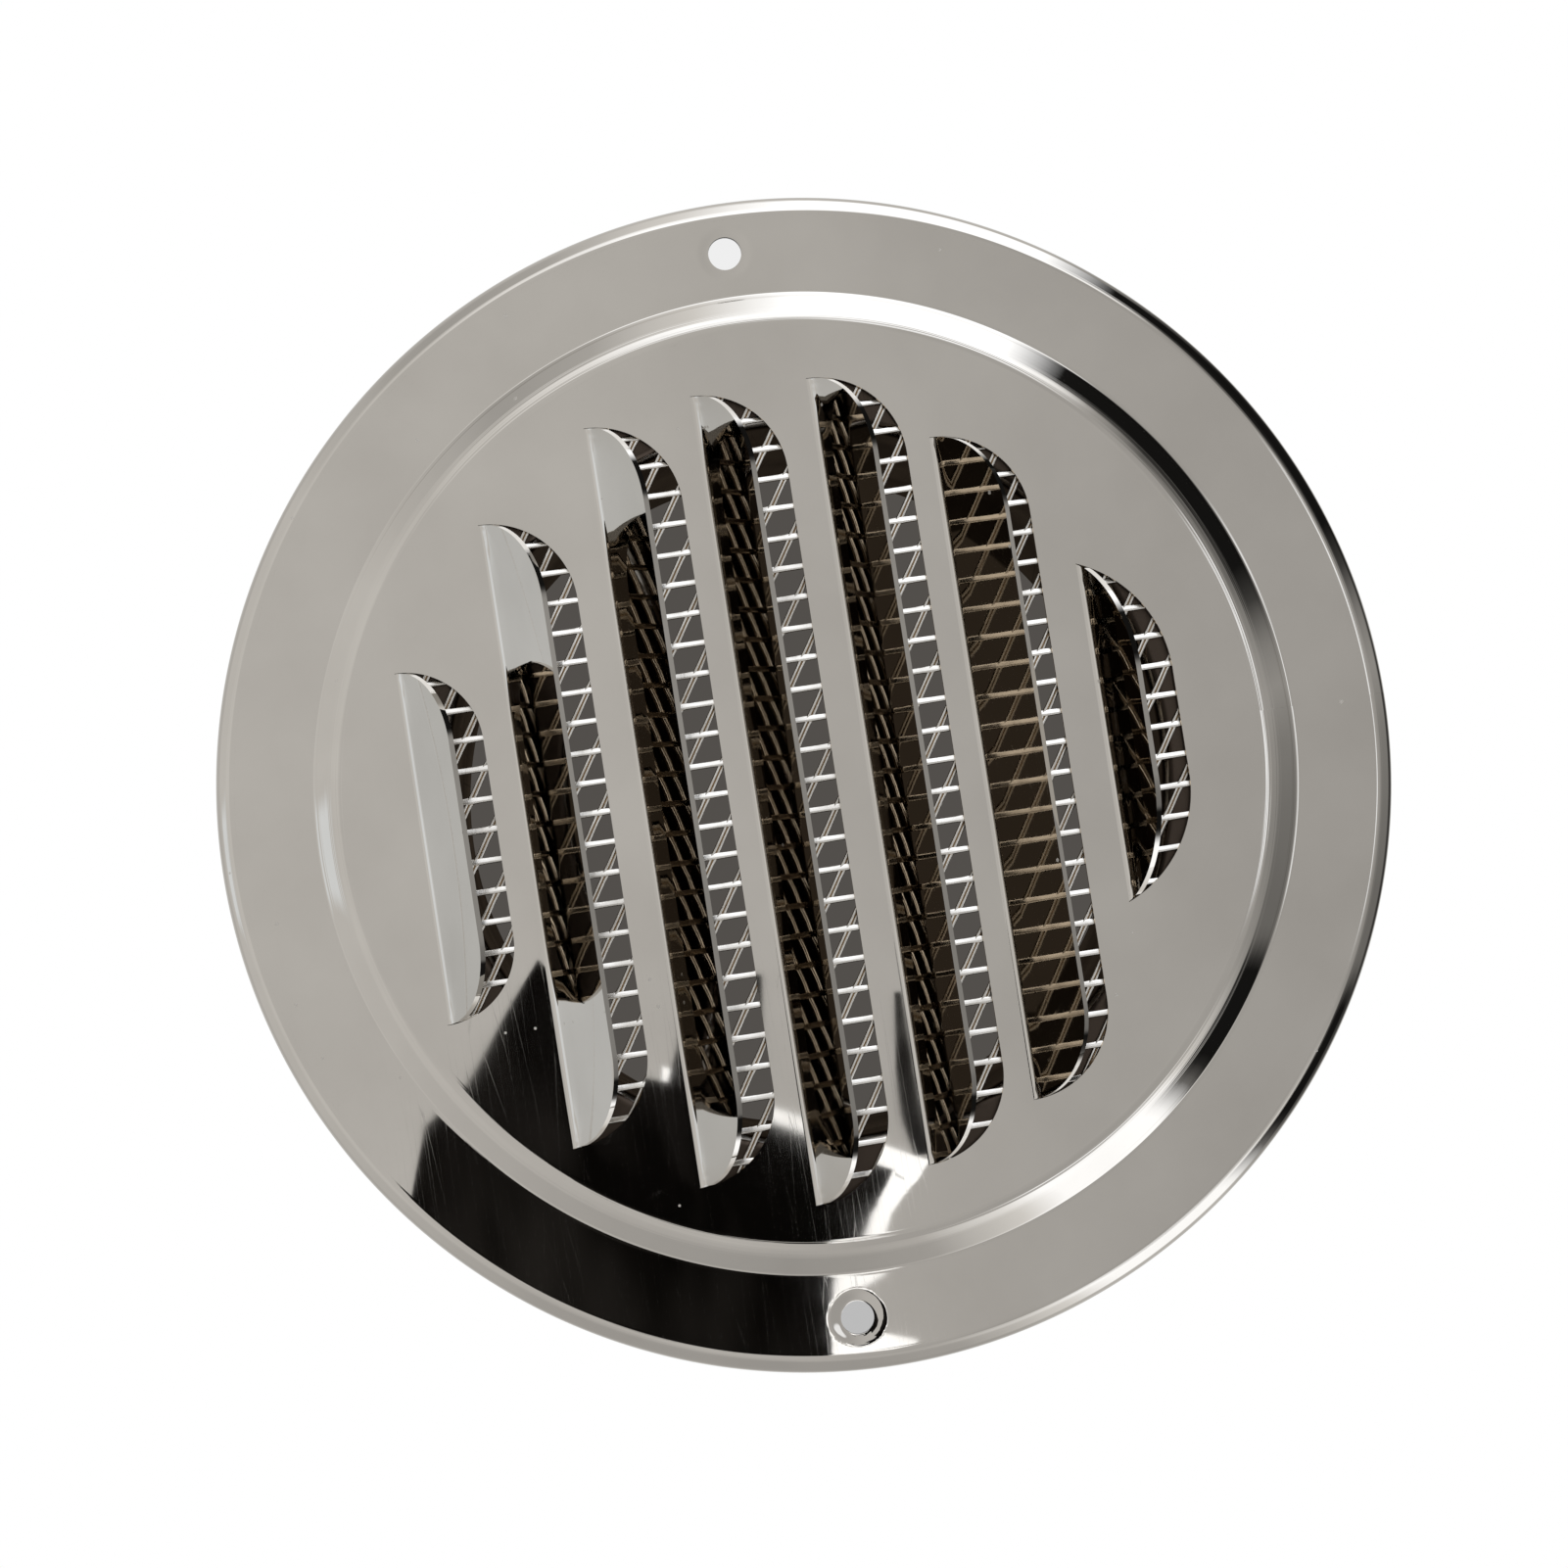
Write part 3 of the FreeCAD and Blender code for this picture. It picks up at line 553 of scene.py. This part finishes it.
# Painted shade: the tube's inside and the flange's face towards the mesh are darkened to brown.
paint_inner_shade(collar_steel)
tube = [(turned(section, TURN), True, False)]
add_piece("collar_tube", tube, collar_steel, ["duct_collar"])

# %% [markdown]
# ## Camera
# The photograph looks almost square on to the face from about half a metre, with the cover turned
# so that its right side points up. Place, aim and lens were solved from the rim, the screw
# holes, the louvre ends and the far end of the collar.

# %% Camera
PHOTO_RIGHT, PHOTO_UP = (-0.1564, 0, -0.9877), (0.9877, 0, -0.1564)
camera = bpy.data.objects.new("camera", bpy.data.cameras.new("camera"))
bpy.context.scene.collection.objects.link(camera)
place, aim = Vector((-0.02073, -0.54774, 0.02166)), Vector((0.00020, 0.0, 0.00297))
back = (place - aim).normalized()
up = Vector((0.98746, -0.04292, -0.15199))
right = up.cross(back).normalized()
up = back.cross(right)
turn = Matrix((right, up, back)).transposed().to_4x4()
camera.matrix_world = Matrix.Translation(place) @ turn
camera.data.lens = 92.29
camera.data.sensor_width = 36.0
camera.data.clip_start = 0.01
bpy.context.scene.camera = camera
print("camera at", [round(v, 4) for v in place])

# %% [markdown]
# ## Studio
# A mirror shows the room, so the room is what is designed here. The world is white to the camera.
# In reflections it is a soft grey in front of the plate and behind it, and round the sides three
# rings of softboxes and dark gaps, which the step and the rim gather into their highlights. A thin
# line on the right and a slit card for the folds are laid over the rings.

# %% World
# Each stop: azimuth in degrees, then the tone towards the front, at the sides and towards the back.
RING = [(0, 0.34, 0.24, 0.04), (8, 0.4, 0.3, 0.05), (14, 0.46, 0.4, 0.06), (19, 0.4, 0.3, 0.06),
        (24, 0.3, 0.06, 0.02), (28, 0.2, 0.01, 0.012), (45, 0.16, 0.01, 0.02), (53, 0.5, 0.01, 0.1),
        (58, 1.3, 0.012, 0.3), (65, 1.7, 1.7, 0.66), (90, 1.7, 1.7, 0.7), (101, 1.65, 0.95, 0.7),
        (114, 1.15, 0.56, 0.66), (127, 0.84, 0.5, 0.6), (138, 0.74, 0.62, 0.6), (150, 0.76, 0.72, 0.6),
        (180, 0.74, 0.7, 0.6), (210, 0.76, 0.7, 0.6), (228, 0.68, 0.6, 0.54), (250, 0.6, 0.5, 0.5),
        (270, 0.55, 0.45, 0.46), (288, 0.62, 0.52, 0.46), (300, 1.15, 0.95, 0.6), (305, 1.55, 1.5, 0.66),
        (320, 1.55, 1.55, 0.66), (325, 1.35, 0.15, 0.4), (328, 0.95, 0.01, 0.16), (341, 0.46, 0.01, 0.05),
        (345, 0.4, 0.2, 0.05), (360, 0.34, 0.24, 0.04)]
WARM = np.array([1.0, 0.975, 0.935])


def make_world():
    """Reflected room by direction: three azimuth rings round the sides, grey in front and behind."""
    world = bpy.data.worlds.new("studio")
    world.use_nodes = True
    bpy.context.scene.world = world
    nodes, link = world.node_tree.nodes, world.node_tree.links.new
    nodes.clear()
    maths, between = wiring(world.node_tree)

    def dot(direction):
        node = nodes.new("ShaderNodeVectorMath")
        node.operation = "DOT_PRODUCT"
        link(look.outputs["Generated"], node.inputs[0])
        node.inputs[1].default_value = direction
        return node.outputs["Value"]

    def blend(factor, a, b):
        node = nodes.new("ShaderNodeMix")
        node.data_type = "RGBA"
        for socket, value in ((node.inputs["Factor"], factor), (node.inputs["A"], a), (node.inputs["B"], b)):
            if isinstance(value, tuple):
                socket.default_value = value
            else:
                link(value, socket)
        return node.outputs["Result"]

    look = nodes.new("ShaderNodeTexCoord")
    across, upward, forward = dot(PHOTO_RIGHT), dot(PHOTO_UP), dot((0, -1, 0))
    share = maths("DIVIDE", maths("ARCTAN2", upward, across), 2 * math.pi)
    share = maths("FRACT", maths("ADD", share, 1.0))

    def ring(column):
        ramp = nodes.new("ShaderNodeValToRGB")
        stops = ramp.color_ramp.elements
        for row in RING[1:-1]:
            stops.new(row[0] / 360)
        for stop, row in zip(stops, RING):
            tone = row[column]
            cast = 1 + (WARM - 1) * np.clip((1.3 - tone) / 0.5, -1, 1)
            stop.color = (*(cast * tone), 1.0)
        link(share, ramp.inputs["Fac"])
        return ramp.outputs["Color"]

    front = blend(between(across, -0.07, 0.2), (*(WARM * 0.65), 1.0), (*(WARM * 0.49), 1.0))
    room = blend(between(forward, -0.42, -0.12), ring(3), ring(2))
    room = blend(between(forward, 0.6, 0.78), room, ring(1))
    room = blend(between(forward, 0.84, 0.92), room, front)
    spread = maths("SQRT", maths("SUBTRACT", 1.0001, maths("MULTIPLY", forward, forward)))
    side = between(maths("DIVIDE", dot((0.1392, 0, -0.9902)), spread), 0.91, 0.96)
    line = maths("MULTIPLY", between(forward, 0.979, 0.973), between(forward, 0.935, 0.945))
    room = blend(maths("MULTIPLY", side, line), room, (1.2, 1.22, 1.25, 1.0))
    slit = between(maths("ABSOLUTE", maths("SUBTRACT", dot((1, 0, 0)), 0.04)), 0.13, 0.07)
    slit = maths("MULTIPLY", slit, between(dot((0, 0, 1)), 0.6, 0.75))
    height = maths("MULTIPLY", between(forward, 0.0, 0.12), between(forward, 0.66, 0.5))
    room = blend(maths("MULTIPLY", slit, height), room, (0.93, 0.96, 0.98, 1.0))
    room = blend(between(forward, -0.55, -0.9), room, (0.7, 0.69, 0.67, 1.0))
    path = nodes.new("ShaderNodeLightPath")
    seen = blend(path.outputs["Is Camera Ray"], room, (1.0, 1.0, 1.0, 1.0))
    light = nodes.new("ShaderNodeBackground")
    link(seen, light.inputs["Color"])
    link(light.outputs["Background"], nodes.new("ShaderNodeOutputWorld").inputs["Surface"])
    return world


make_world()
print("world ring has", len(RING), "stops")

# %% [markdown]
# ## Stage
# Two dark flags and a white strip stand just behind the camera, and the plate mirrors them. A dim
# disc closes the duct behind the collar, and a small card backs each screw hole; both show only
# from the front. The floor is white to the camera, but for a soft shadow behind the rim's foot.


# %% Stage cards
def stage_card(name, outline, material, middle=None):
    """Flat card: three rings of points that shrink the outline towards its middle; points in mm."""
    middle = outline.mean(0) if middle is None else middle
    rings = middle + np.array([0.001, 0.5, 1.0])[:, None, None] * (outline - middle)
    mesh = bpy.data.meshes.new(name)
    mesh.from_pydata((rings.reshape(-1, 3) * MM).tolist(), [], grid_faces(*rings.shape[:2], True, 0).tolist())
    mesh.materials.append(material)
    card = bpy.data.objects.new(name, mesh)
    bpy.context.scene.collection.objects.link(card)
    return card


def stage_material(name):
    """Empty node material and its parts: nodes, link function and output socket."""
    material = bpy.data.materials.new(name)
    material.use_nodes = True
    nodes = material.node_tree.nodes
    return material, nodes, material.node_tree.links.new, nodes["Material Output"].inputs["Surface"]


def glowing(name, colour):
    """Plain emission, the same tone from everywhere."""
    material, nodes, link, surface = stage_material(name)
    nodes.remove(nodes["Principled BSDF"])
    glow = nodes.new("ShaderNodeEmission")
    glow.inputs["Color"].default_value = (*colour, 1.0)
    link(glow.outputs["Emission"], surface)
    return material


def mirrored(outline, back):
    """Points of the plate, in mm right of and above its centre, mirrored to a card behind the camera."""
    spot = np.array(outline, float) @ [PHOTO_RIGHT, PHOTO_UP] + [0, FACE_Y, 0]
    eye = np.array(place) / MM
    ray = (spot - eye) * [1, -1, 1]
    return spot + ray * (eye[1] - back - FACE_Y) / ray[:, 1:2]


FLAG = [(-36.3, -24.5), (-45.4, -40.4), (-51.2, -46.4), (-53.4, -57.8), (-54.5, -66.5), (-40.0, -81.0),
        (-26.0, -88.0), (-12.0, -92.0), (3.2, -92.0), (3.9, -67.7), (7.8, -61.8), (9.8, -57.7), (10.6, -52.4),
        (3.9, -48.4), (-5.5, -45.7), (-6.1, -26.5), (-14.1, -25.1), (-18.5, -40.8), (-24.1, -39.8),
        (-29.4, -31.8)]
SIDE_FLAG = [(11.5, -29.0), (12.5, -29.0), (14.1, -38.9), (15.7, -45.1), (16.6, -49.5), (13.6, -49.8),
             (12.4, -45.1), (11.7, -38.9)]
STRIP = [(-19.1, -38.7), (-4.2, -44.0), (16.4, -50.7), (14.4, -55.1), (11.5, -59.0), (9.7, -65.3),
         (11.2, -66.8), (7.8, -68.8), (6.2, -70.4), (6.2, -73.0), (10.5, -74.1), (15.2, -74.9), (13.2, -82.3),
         (-7.6, -81.3), (-22.6, -72.3)]


def flag_cloth():
    """Black cloth that is not quite even: faint upright folds from stretched noise."""
    material = glowing("flag_black", (0.0, 0.0, 0.0))
    nodes, link = material.node_tree.nodes, material.node_tree.links.new
    kinds = ("TexCoord", "Mapping", "TexNoise", "ValToRGB")
    where, stretch, folds, tone = (nodes.new("ShaderNode" + kind) for kind in kinds)
    stretch.inputs["Scale"].default_value = (14.0, 1.0, 45.0)
    folds.inputs["Scale"].default_value = 1.0
    tone.color_ramp.elements[0].position = 0.45
    tone.color_ramp.elements[0].color = (0.003, 0.0026, 0.0022, 1.0)
    tone.color_ramp.elements[1].position = 0.75
    tone.color_ramp.elements[1].color = (0.02, 0.018, 0.016, 1.0)
    link(where.outputs["Object"], stretch.inputs["Vector"])
    link(stretch.outputs["Vector"], folds.inputs["Vector"])
    link(folds.outputs["Fac"], tone.inputs["Fac"])
    link(tone.outputs["Color"], nodes["Emission"].inputs["Color"])
    return material


cloth = flag_cloth()
flag = stage_card("dark_flag", mirrored(FLAG, 6.0), cloth, mirrored([(-20.6, -56.3)], 6.0)[0])
side_flag = stage_card("side_flag", mirrored(SIDE_FLAG, 5.0), cloth)
strip = stage_card("white_strip", mirrored(STRIP, 8.0), glowing("strip_white", (1.7, 1.7, 1.7)),
                   mirrored([(-7.6, -72.3)], 8.0)[0])
for card in (flag, side_flag, strip):
    card.visible_camera = False
    print("card:", card.name)


# %% Duct end and holes
def one_sided(name, mirror_tone, seen_tone):
    """Dim card with one tone to the camera and another in reflections, and clear from behind."""
    material, nodes, link, surface = stage_material(name)
    nodes.remove(nodes["Principled BSDF"])
    kinds = ("LightPath", "Mix", "Emission", "NewGeometry", "BsdfTransparent", "MixShader")
    path, tone, glow, side, clear, mix = (nodes.new("ShaderNode" + kind) for kind in kinds)
    tone.data_type = "RGBA"
    tone.inputs["A"].default_value = (*mirror_tone, 1.0)
    tone.inputs["B"].default_value = (*seen_tone, 1.0)
    link(path.outputs["Is Camera Ray"], tone.inputs["Factor"])
    link(tone.outputs["Result"], glow.inputs["Color"])
    link(side.outputs["Backfacing"], mix.inputs["Fac"])
    link(glow.outputs["Emission"], mix.inputs[1])
    link(clear.outputs["BSDF"], mix.inputs[2])
    link(mix.outputs["Shader"], surface)
    return material


# Painted shade: the duct's far end is a dim glowing disc that stands in for the shaded surface behind it.
duct_shade = one_sided("duct_shade", (0.045, 0.034, 0.024), (0.085, 0.078, 0.071))
stage_card("duct_end", turned(np.array([[48.95, REACH + 0.05]]), TURN[::-1])[0], duct_shade)
# Painted light and shade: each hole's card glows with the tone seen through it, pale behind the first hole
# and grey shade behind the second.
for (reach, turn, _), tone in zip(SCREWS, (0.86, 0.5)):
    behind = np.array([reach * math.cos(turn), -0.4, reach * math.sin(turn)])
    shade = one_sided("hole_shade", (0.1, 0.1, 0.1), (tone, tone, tone))
    stage_card("hole_back", behind + turned(np.array([[4.0, 0.0]]), TURN[::-10])[0], shade)
print("duct closed at", REACH, "mm")

# %% Floor
FLOOR_R, FLOOR_Z = 900.0, -80.2
DROP_WIDE, DROP_LONG, DROP_FROM = 0.022, 0.052, 0.0012
DROP_WHITE = 0.3


def pale_floor():
    """Pale board; to the camera plain white, but for a soft drop-shaped shadow behind the rim's foot."""
    material, nodes, link, surface = stage_material("pale_floor")
    maths, fade = wiring(material.node_tree)
    board = nodes["Principled BSDF"]
    board.inputs["Base Color"].default_value = (0.9, 0.9, 0.9, 1.0)
    board.inputs["Roughness"].default_value = 0.8
    kinds = ("TexCoord", "SeparateXYZ", "LightPath", "Emission", "MixShader")
    where, axes, path, glow, mix = (nodes.new("ShaderNode" + kind) for kind in kinds)
    link(where.outputs["Object"], axes.inputs["Vector"])
    x, y = axes.outputs["X"], axes.outputs["Y"]
    sides = maths("DIVIDE", maths("MULTIPLY", x, x), maths("MULTIPLY", y, DROP_WIDE))
    drop = fade(maths("ADD", sides, maths("POWER", maths("DIVIDE", y, DROP_LONG), 2.0)), 0.0, 1.0)
    white = maths("MAXIMUM", drop, maths("LESS_THAN", y, DROP_FROM))
    white = maths("MULTIPLY_ADD", white, 1 - DROP_WHITE, DROP_WHITE)
    link(maths("MULTIPLY", white, path.outputs["Is Camera Ray"]), mix.inputs["Fac"])
    link(board.outputs["BSDF"], mix.inputs[1])
    link(glow.outputs["Emission"], mix.inputs[2])
    link(mix.outputs["Shader"], surface)
    return material


foot = np.stack([FLOOR_R * np.cos(TURN), FLOOR_R * np.sin(TURN), 0 * TURN + FLOOR_Z], -1)
floor = stage_card("floor", foot, pale_floor())
floor.visible_glossy = False
print("floor at", FLOOR_Z, "mm")

# %% Lamp
lamp = bpy.data.objects.new("softbox", bpy.data.lights.new("softbox", "AREA"))
lamp.data.size = 0.8
lamp.data.energy = 6.0
lamp.location = (0.5, -0.7, 1.0)
lamp.rotation_euler = (Vector((0, 0, 0)) - lamp.location).to_track_quat("-Z", "Y").to_euler()
lamp.visible_glossy = False
bpy.context.scene.collection.objects.link(lamp)
print("lamp:", lamp.name)

# %% Finish
bpy.context.scene.view_settings.view_transform = "Standard"
